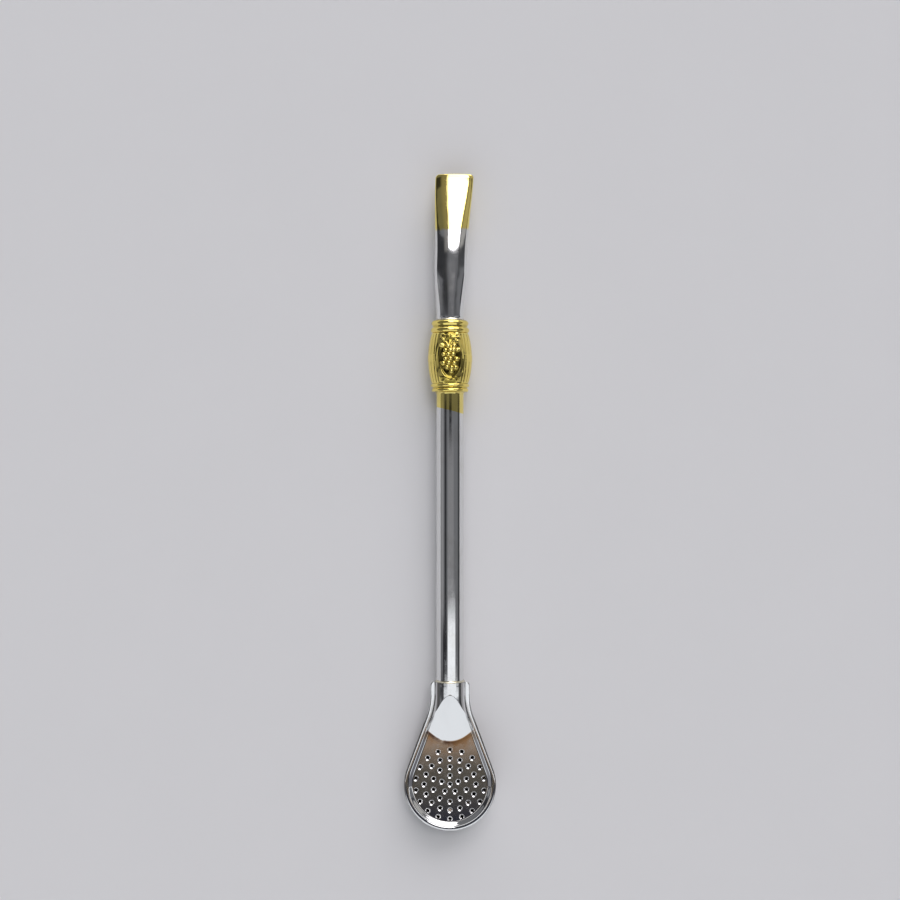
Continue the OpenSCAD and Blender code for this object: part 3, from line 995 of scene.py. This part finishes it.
    def back(self) -> Piece:
        """Back of the spoon with its folded rim: a closed sheet between its outer and inner skins.

        Its inside is painted dark all over as shade, and the side of its rim along the blade gets painted
        shade.
        """
        st = self.stations(self.back_fillet_steps)
        skins = [self.both_halves(st, *self.back_section(st, inset)) for inset in (0.0, self.sheet_t)]
        points, faces = closed_sheet(*skins, meets=True)
        skin = skins[0].shape[:2]
        step = np.arange(skin[1])
        # The bowl's inner skin is painted dark all over as shade
        inside = np.broadcast_to(step >= self.fold_steps + 2, skin).ravel()
        along = skins[0][:, :1, 1] / MM + self.straw.total_length / 2.0
        # Painted shade on the side of the rim along the blade, fading out at both ends and starting a few
        # steps in from the lip
        (low, low_soft), (high, high_soft) = self.rim_shade_low, self.rim_shade_high
        shade = smooth((along - low) / low_soft) * smooth((high - along) / high_soft)
        edge = shade * smooth((step[None, :] - self.rim_shade_step[0]) / self.rim_shade_step[1])
        stain_and_shade = np.concatenate([edge.ravel(), inside])
        piece = new_piece("bowl_and_rim", points, faces, 50.0, recess=stain_and_shade)
        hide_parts("spoon_back")
        return piece

    def plate_section(self, st: Stations, top: bool) -> tuple[Array, ...]:
        """Section of one skin of the plate: flange, bevel and flat face, or the arch of the neck.

        The arch is half an oval over the whole section, cut off by a sloping tongue. The tongue's height
        grows evenly from the ramp's foot to its top, and the lower of both counts. The sections sag towards
        the spoon's end as the tongue falls, so that its foot is a rounded crease.

        Args:
            st: stations.
            top: whether this is the upper skin.

        Returns:
            Distances inward, heights, sags and shares of painted shade on the arch's steep flank, stations by
            steps.
        """
        dist = st["dist"][:, None]
        flange = self.sheet_t if top else 0.0
        r = self.channel_in + flange
        bevel = np.linspace(0.0, 1.0, self.bevel_steps)[None, :]
        face = np.linspace(0.0, 1.0, self.face_steps + 1)[None, 1:]
        collar = self.border + np.array([self.collar])
        slant = np.concatenate([mix(self.ledge, self.border, bevel), collar], 1)
        flat_in = np.concatenate([slant + 0.0 * dist, mix(collar[:, -1:], dist, face)], 1)
        flat_z = flange - self.recess * np.concatenate([smooth(bevel), np.ones((1, 2 + face.size))], 1)
        start = self.collar_share[1]
        share = np.concatenate([bevel / 9.0, np.array([self.collar_share]), mix(start, 1.0, face)], 1)
        climb = self.climb(st)[:, None]
        way = clamp01((share - start) / (1.0 - start))
        fall = -st["ns"][:, None] * (dist - collar[:, -1:])
        sag = (self.crease_drop * (2.0 - way) * way - fall * way) * (1.0 - clamp01(climb))
        foot = np.maximum(r, dist - self.ledge - self.sheet_t + flange)
        ang = mix(math.asin(flange / r), math.pi / 2.0, share)
        inward = mix(flat_in, dist - foot * np.cos(ang), clamp01(climb))
        across = clamp01((dist - inward) / foot)
        arch = np.maximum(0.0, r * np.sqrt(1.0 - across**2) - flat_z)
        tongue = (self.channel_in + self.recess) * np.maximum(0.0, climb)
        z = flat_z + self.lower_of(arch, tongue)
        # The arch's steep flank, and its shoulder where the tongue is lower, get painted shade
        shoulder = 0.8 * smooth((across - 0.80) / 0.12) * smooth((climb - 0.22) / 0.15)
        side = smooth((across - 0.58) / 0.14) * (1.0 - 0.85 * smooth((across - 0.77) / 0.10))
        flank = np.where(arch < tongue, side, shoulder)
        edge = np.ones_like(dist)
        return (
            np.concatenate([self.plate_edge * edge, inward], 1),
            np.concatenate([flange * edge, z], 1),
            np.concatenate([0.0 * edge, sag], 1),
            np.concatenate([0.0 * edge, flank], 1),
        )

    def hole_places(self) -> Array:
        """Middles of the holes, on rings of equal pitch round the middle of the blade."""
        places = [
            np.stack([
                -ring * self.hole_pitch * np.sin(np.arange(count) * 2.0 * math.pi / count),
                self.blade_r + ring * self.hole_pitch * np.cos(np.arange(count) * 2.0 * math.pi / count),
            ], -1)
            for ring, count in enumerate(self.hole_rings)
        ]
        return np.concatenate(places)

    def face_net(self, border: Array) -> tuple[Array, Array, Array, Array]:
        """Triangles of the flat face between its border and the holes.

        Rings of points stand round every hole, so that each dimple is drawn by its own radius.

        Args:
            border: closed line of places across and along the straw.

        Returns:
            Places, triangles, the hole edges as pairs of place numbers, and the border's place numbers.
        """
        middles = self.hole_places()
        ang = np.arange(self.hole_sides) * 2.0 * math.pi / self.hole_sides
        hole_r = self.hole_d / 2.0
        radii = np.linspace(hole_r, self.dimple_r, self.dimple_rings)
        radii = np.append(radii, self.dimple_r + self.dimple_past)
        turn = np.stack([np.cos(ang), np.sin(ang)], -1)
        rings = middles[:, None, None, :] + radii[None, :, None, None] * turn[None, None, :, :]
        places = np.concatenate([border, rings.reshape(-1, 2)])
        number = len(border) + np.arange(rings.size // 2).reshape(rings.shape[:3])
        rims = np.stack([number[:, 0, :], np.roll(number[:, 0, :], -1, 1)], -1).reshape(-1, 2)
        line = np.arange(len(border))
        edges = np.concatenate([np.stack([line, np.roll(line, -1)], -1), rims])
        found, _, tris, origin, _, _ = delaunay_2d_cdt(
            [Vector(p) for p in places.tolist()], edges.tolist(), [line.tolist()], 1, 1e-6
        )
        spots = np.array([tuple(p) for p in found])
        tris = np.array([tuple(t) for t in tris])
        centre = spots[tris].mean(1)
        gap = np.linalg.norm(centre[:, None, :] - middles[None, :, :], axis=-1).min(1)
        new_number = np.full(len(places), -1)
        for new, olds in enumerate(origin):
            new_number[list(olds)] = new
        # A triangle in a hole has its centre inside the rim, and one beside it never does
        outside = gap > 0.995 * hole_r
        return spots, tris[outside], new_number[rims], new_number[line]

    def dimpled(self, spots: Array) -> Array:
        """Share of a dimple at each place, 1 at the edge of a hole and 0 at the dimple's rim."""
        gap = np.linalg.norm(spots[:, None, :] - self.hole_places()[None, :, :], axis=-1).min(1)
        return clamp01((self.dimple_r - gap) / (self.dimple_r - self.hole_d / 2.0))

    def face_height(self, spots: Array, top: bool, brink: Array) -> Array:
        """Height of the flat face: dimples by the distance to the nearest hole, none along the border.

        Args:
            spots: places across and along the straw.
            top: whether this is the upper skin.
            brink: numbers of the places on the border.

        Returns:
            Heights over the straw's axis.
        """
        dimple = self.dimple_depth * (1.0 - smooth(1.0 - 0.88 * self.dimpled(spots)))
        dimple[brink] = 0.0
        return (self.sheet_t if top else 0.0) - self.recess - dimple

    def plate(self) -> Piece:
        """Perforated plate: bevelled border and neck as grids, flat face as a net, skins and walls."""
        st = self.stations(self.plate_fillet_steps)
        foot = int(st.pop("foot"))
        upper = {key: value[: foot + 1] for key, value in st.items()}
        lower = {key: value[foot:] for key, value in st.items()}
        points, faces, painted_shades, count = [], [], [], 0

        def add(new_points: Array, new_faces: Array, stain_and_shade: Array = 0.0) -> int:
            """Appends points, faces and painted shade and returns the number of the first new point."""
            nonlocal count
            points.append(new_points.reshape(-1, 3))
            painted_shades.append(np.zeros(new_points.size // 3) + stain_and_shade)
            faces.extend((new_faces + count).tolist())
            first, count = count, count + new_points.size // 3
            return first

        rows = len(upper["x"])
        holes, walls = [], []
        for top in (True, False):
            rim_in, rim_z = (part[:, : self.collar_end] for part in self.plate_section(lower, top)[:2])
            *section, flank = self.plate_section(upper, top)
            neck = self.both_halves(upper, *section)
            right = neck[:rows]
            left = np.concatenate([neck[rows - 1 : rows] * [-1, 1, 1], neck[rows:]])
            net = grid_faces(rows, neck.shape[1])
            # Painted shade on the arch's flanks, stronger on the left half than on the right
            add(right, net, (self.flank_shade[0] * flank).ravel())
            add(left, net, (self.flank_shade[1] * flank[::-1]).ravel())
            rim = self.both_halves(lower, rim_in, rim_z)
            add(rim, grid_faces(*rim.shape[:2]))
            crease = right[-1, self.collar_end :, :2]
            loop = np.concatenate([rim[:, -1, :2], crease * [-1, 1], crease[-2::-1]])
            border = np.stack([loop[:, 0] / MM, loop[:, 1] / MM + self.straw.total_length / 2.0], -1)
            spots, tris, edges, brink = self.face_net(border)
            face = self.straw.place(spots[:, 0], spots[:, 1], self.face_height(spots, top, brink))
            # Painted shade darkens each dimple towards its hole
            stain_and_shade = self.dimple_shade * smooth(self.dimpled(spots) / 0.4)
            holes.append(edges + add(face, tris, stain_and_shade))
            walls.append((np.concatenate([right[:, 0], rim[1:-1, 0], left[:, 0]]), right[0], left[-1]))
        faces.extend(np.concatenate([holes[0], holes[1][:, ::-1]], 1).tolist())
        for pair in zip(*walls):
            add(np.stack(pair), grid_faces(2, len(pair[0])))
        recess = np.concatenate(painted_shades)
        piece = new_piece("perforated_plate", np.concatenate(points), faces, 12.0, weld=1e-6, recess=recess)
        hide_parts("strainer_plate")
        return piece

    def dress(self, back: Piece, plate: Piece) -> None:
        """Gives the spoon its silver, the plate with a warm painted reflection and a painted shadow below its
        crease.
        """
        back.data.materials.append(Finish(PAINTED_SHADE_BOWL).build("silver_bowl"))
        st, reach = self.stations(self.back_fillet_steps), self.border + self.collar[1]
        x, s, nx, ns = (float(st[key][int(st["foot"])]) for key in ("x", "s", "nx", "ns"))
        # The painted reflection and shadow start at the foot of the crease
        line = self.straw.along(s + ns * reach - self.crease_drop)
        crease_paint = CreasePaint(line, self.crease_drop / (x + nx * reach) ** 2 / MM, self.warm_fade)
        plate.data.materials.append(Finish(STAMPED, crease_paint=crease_paint).build("silver_plate"))


@dataclass
class SolderJoints:
    """Fillets of solder where the ring and the spoon's neck meet the tubes."""

    straw: Straw
    height: float = 0.7
    width: float = 0.55
    sides: int = 120

    def fillet(self, name: str, node: str, at: float, up: int, slot: Slot) -> Piece:
        """Uneven ring of solder: a hollow-cheeked triangle carried round the tube, its size waving.

        Args:
            name: the piece's name.
            node: the solid that it stands for.
            at: place on the straw of the face that it stands on.
            up: 1 where it rises towards the mouth, -1 where it hangs the other way.
            slot: the record's slot; not used.

        Returns:
            The piece.
        """
        bore = self.straw.tube_r + self.straw.seat_gap
        ang = np.linspace(0.0, 2.0 * math.pi, self.sides, endpoint=False)[:, None]
        wave = 0.86 + 0.08 * np.sin(3.0 * ang + at) + 0.06 * np.sin(7.0 * ang + 2.0 * at)
        v = np.linspace(0.0, 1.0, 9)[None, :]
        across = np.concatenate([(1.0 - v) ** 1.6, [[0.0]]], 1)
        along = np.concatenate([v**1.6, [[0.0]]], 1)
        r = bore + self.width * wave * across
        s = at + up * (self.straw.seat_gap + (self.height - self.straw.seat_gap) * wave * along)
        points = self.straw.place(r * np.cos(ang), s, r * np.sin(ang))
        faces = grid_faces(*points.shape[:2], True, True)
        piece = new_piece(name, points.reshape(-1, 3), faces, 50.0)
        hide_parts(node)
        return piece

    def build(self, neck_top: float) -> list[Piece]:
        """Builds the three fillets and dresses them.

        Args:
            neck_top: place on the straw of the spoon neck's end.

        Returns:
            The pieces.
        """
        straw = self.straw
        grey = Finish(SOLDER).build("grey_solder")
        gold = Finish(TIP_GOLD).build("gilded_solder")
        pieces = [
            self.fillet("solder_ring_top", "ring_top_solder", straw.ring_top, 1, Slot.SOLDER),
            self.fillet("solder_ring_bottom", "ring_bottom_solder", straw.ring_bottom, -1, Slot.GOLD),
            self.fillet("solder_neck", "neck_solder", neck_top, 1, Slot.SOLDER),
        ]
        for piece, material in zip(pieces, (grey, gold, grey)):
            piece.data.materials.append(material)
        return pieces


# The studio


@dataclass(frozen=True)
class Patch:
    """Soft-edged field of the room, in half-angle tangents across (p) and along (q)."""

    across: Span
    along: Span
    soft: Span

    def share(self, graph: Graph, p: Socket, q: Socket) -> Socket:
        """Share of the patch in a direction: the product of smooth steps over its four edges."""
        sides = []
        for value, (low, high), soft in ((p, self.across, self.soft[0]), (q, self.along, self.soft[1])):
            sides.append(graph.step(value, low - soft, low + soft))
            sides.append(graph.step(value, high - soft, high + soft, 1.0, 0.0))
        return graph.times(*sides)


@dataclass(frozen=True)
class Panel(Patch):
    """Soft light panel."""

    light: Colour


@dataclass(frozen=True)
class Flag(Patch):
    """Dark flag, with the share of light that it takes."""

    dark: float


@dataclass
class Studio:
    """Pale floor, the room's soft panels and a camera that looks straight down."""

    distance: float = 0.48
    view_width: float = 0.2842
    ahead: float = 0.01665
    floor_half: float = 4.0
    floor_drop: float = 0.00002
    floor_tone: Colour = (0.720, 0.720, 0.729)
    room: Colour = (0.165, 0.168, 0.178)
    horizon: Colour = (0.62, 0.63, 0.65)
    black: Colour = (0.012, 0.012, 0.014)
    panels: tuple[Panel, ...] = (
        Panel((-0.14, -0.030), (0.084, 0.27), (0.06, 0.012), (0.24, 0.23, 0.22)),
        Panel((0.005, 0.095), (0.086, 0.094), (0.012, 0.006), (2.6, 2.55, 2.6)),
        Panel((-0.010, 0.135), (0.094, 0.106), (0.012, 0.005), (3.4, 3.3, 3.4)),
        Panel((-0.030, 0.19), (0.105, 0.27), (0.012, 0.006), (4.6, 4.5, 4.6)),
        Panel((-0.10, 0.52), (0.34, 0.62), (0.02, 0.02), (3.4, 3.3, 3.4)),
        Panel((-0.38, 0.38), (0.62, 1.10), (0.05, 0.03), (2.6, 2.55, 2.6)),
        Panel((0.25, 0.80), (0.084, 0.27), (0.06, 0.012), (0.42, 0.41, 0.40)),
        Panel((-0.40, 0.40), (-0.66, -0.175), (0.05, 0.02), (0.89, 0.92, 0.96)),
        Panel((0.66, 1.40), (-0.095, -0.0765), (0.06, 0.003), (0.30, 0.30, 0.31)),
        Panel((-0.70, -0.40), (-0.34, -0.088), (0.05, 0.006), (0.25, 0.25, 0.27)),
        Panel((0.40, 0.70), (-0.34, -0.088), (0.05, 0.006), (0.16, 0.16, 0.18)),
        Panel((-0.34, 0.34), (-0.150, -0.089), (0.05, 0.004), (0.022, 0.024, 0.040)),
        Panel((-0.20, 0.20), (-0.1150, -0.089), (0.10, 0.006), (0.085, 0.078, 0.066)),
        Panel((-0.24, 0.24), (-0.0985, -0.089), (0.05, 0.004), (0.38, 0.27, 0.19)),
        Panel((-0.16, 0.28), (-0.052, 0.002), (0.06, 0.006), (0.24, 0.24, 0.25)),
        Panel((-0.85, -0.54), (-0.056, 0.0195), (0.05, 0.004), (0.27, 0.27, 0.28)),
        Panel((-0.17, 0.42), (-0.083, -0.053), (0.03, 0.005), (1.06, 1.09, 1.12)),
        Panel((-0.42, 0.63), (-0.0855, -0.0765), (0.05, 0.002), (1.00, 1.03, 1.07)),
    )
    flags: tuple[Flag, ...] = (
        Flag((-0.06, 0.125), (0.004, 0.020), (0.02, 0.008), 0.96),
        Flag((-0.60, -0.24), (-0.0758, -0.056), (0.05, 0.002), 0.9),
        Flag((-1.30, -0.58), (-0.095, -0.0765), (0.05, 0.003), 0.8),
        Flag((-0.44, -0.26), (-0.056, 0.0195), (0.05, 0.002), 0.85),
        Flag((-0.66, -0.44), (-0.45, -0.0758), (0.08, 0.002), 0.75),
        Flag((-0.80, -0.05), (0.0425, 0.15), (0.05, 0.003), 0.85),
        Flag((0.17, 0.80), (0.0425, 0.084), (0.05, 0.003), 0.70),
        Flag((-0.05, 0.17), (0.0425, 0.076), (0.05, 0.006), 0.25),
    )
    edge_flags: tuple[Flag, ...] = (
        Flag((0.70, 1.00), (-0.14, 0.020), (0.05, 0.002), 0.8),
        Flag((-1.02, -0.84), (-0.14, 0.020), (0.04, 0.002), 0.35),
    )

    def light(self) -> None:
        """Lights the scene by the room alone: a dim room, a pale horizon, dark flags and soft panels.

        A direction's place on the room is its tangent of the half angle from straight up, so that the place
        is also the slope of a surface that mirrors it to a camera overhead. The place along is divided by one
        more than the square of the place across, which keeps a panel's edge square to a straight tube.
        """
        world = bpy.data.worlds.new("room")
        bpy.context.scene.world = world
        graph = Graph(world)
        axes = graph.axes("Generated")
        over = graph.math("MAXIMUM", graph.math("ADD", axes[2], 1.0), 0.05)
        p, q = (graph.math("DIVIDE", axes[i], over) for i in (0, 1))
        q = graph.math("DIVIDE", q, graph.math("ADD", graph.times(p, p), 1.0))
        tone = self.room
        for flag in self.flags:
            tone = graph.blend(graph.times(flag.share(graph, p, q), flag.dark), tone, self.black)
        for panel in self.panels:
            tone = graph.blend(panel.share(graph, p, q), tone, panel.light)
        tone = graph.blend(graph.step(axes[2], 0.05, 0.18, 1.0, 0.0), tone, self.horizon)
        above = graph.step(axes[2], 0.0, 0.02)
        for flag in self.edge_flags:
            tone = graph.blend(graph.times(flag.share(graph, p, q), flag.dark, above), tone, self.black)
        back = graph.add("ShaderNodeBackground", {"Color": tone, "Strength": 1.0})
        graph.add("ShaderNodeOutputWorld", {"Surface": back.outputs[0]})

    def floor(self) -> None:
        """Lays a plain pale floor just under the part."""
        half = self.floor_half
        corners = np.array([[-half, -half], [half, -half], [half, half], [-half, half]])
        points = np.concatenate([corners, np.full((4, 1), -self.floor_drop)], 1)
        mesh = bpy.data.meshes.new("floor")
        mesh.from_pydata(points.tolist(), [], [[0, 1, 2, 3]])
        floor = bpy.data.objects.new("floor", mesh)
        bpy.context.scene.collection.objects.link(floor)
        material = bpy.data.materials.new("floor_paint")
        graph = Graph(material)
        fleck = graph.step(graph.noise((30.0, 30.0, 30.0), 4.0), 0.3, 0.7, 0.0, 0.04)
        tone = graph.blend(fleck, self.floor_tone, tuple(0.8 * c for c in self.floor_tone))
        shader = graph.add("ShaderNodeBsdfPrincipled", {"Base Color": tone, "Roughness": 0.9})
        graph.add("ShaderNodeOutputMaterial", {"Surface": shader.outputs[0]})
        mesh.materials.append(material)

    def camera(self, straw: Straw) -> None:
        """Sets the camera above the straw, looking straight down with the mouth tip up."""
        lens = bpy.data.cameras.new("camera")
        lens.sensor_width = 36.0
        lens.sensor_fit = "HORIZONTAL"
        lens.lens = lens.sensor_width * self.distance / self.view_width
        camera = bpy.data.objects.new("camera", lens)
        camera.location = (0.0, self.ahead, straw.axis_h * MM + self.distance)
        camera.rotation_euler = (0.0, 0.0, 0.0)
        bpy.context.scene.collection.objects.link(camera)
        bpy.context.scene.camera = camera
        bpy.context.scene.view_settings.view_transform = "Standard"


def main() -> None:
    """Builds the studio, then each sub-assembly in order."""
    logging.basicConfig(level=logging.INFO, format="%(name)s: %(message)s")
    straw = Straw()
    studio = Studio()
    studio.camera(straw)
    studio.light()
    studio.floor()
    spoon = Spoon(straw)
    tubes = Tubes(straw, spoon.stem_end)
    tubes.dress(tubes.mouthpiece(), tubes.stem())
    ring = BarrelRing(straw)
    ring.dress(ring.shell(Side.FRONT), ring.shell(Side.BACK))
    spoon.dress(spoon.back(), spoon.plate())
    SolderJoints(straw).build(spoon.neck_top)


if __name__ == "__main__":
    main()
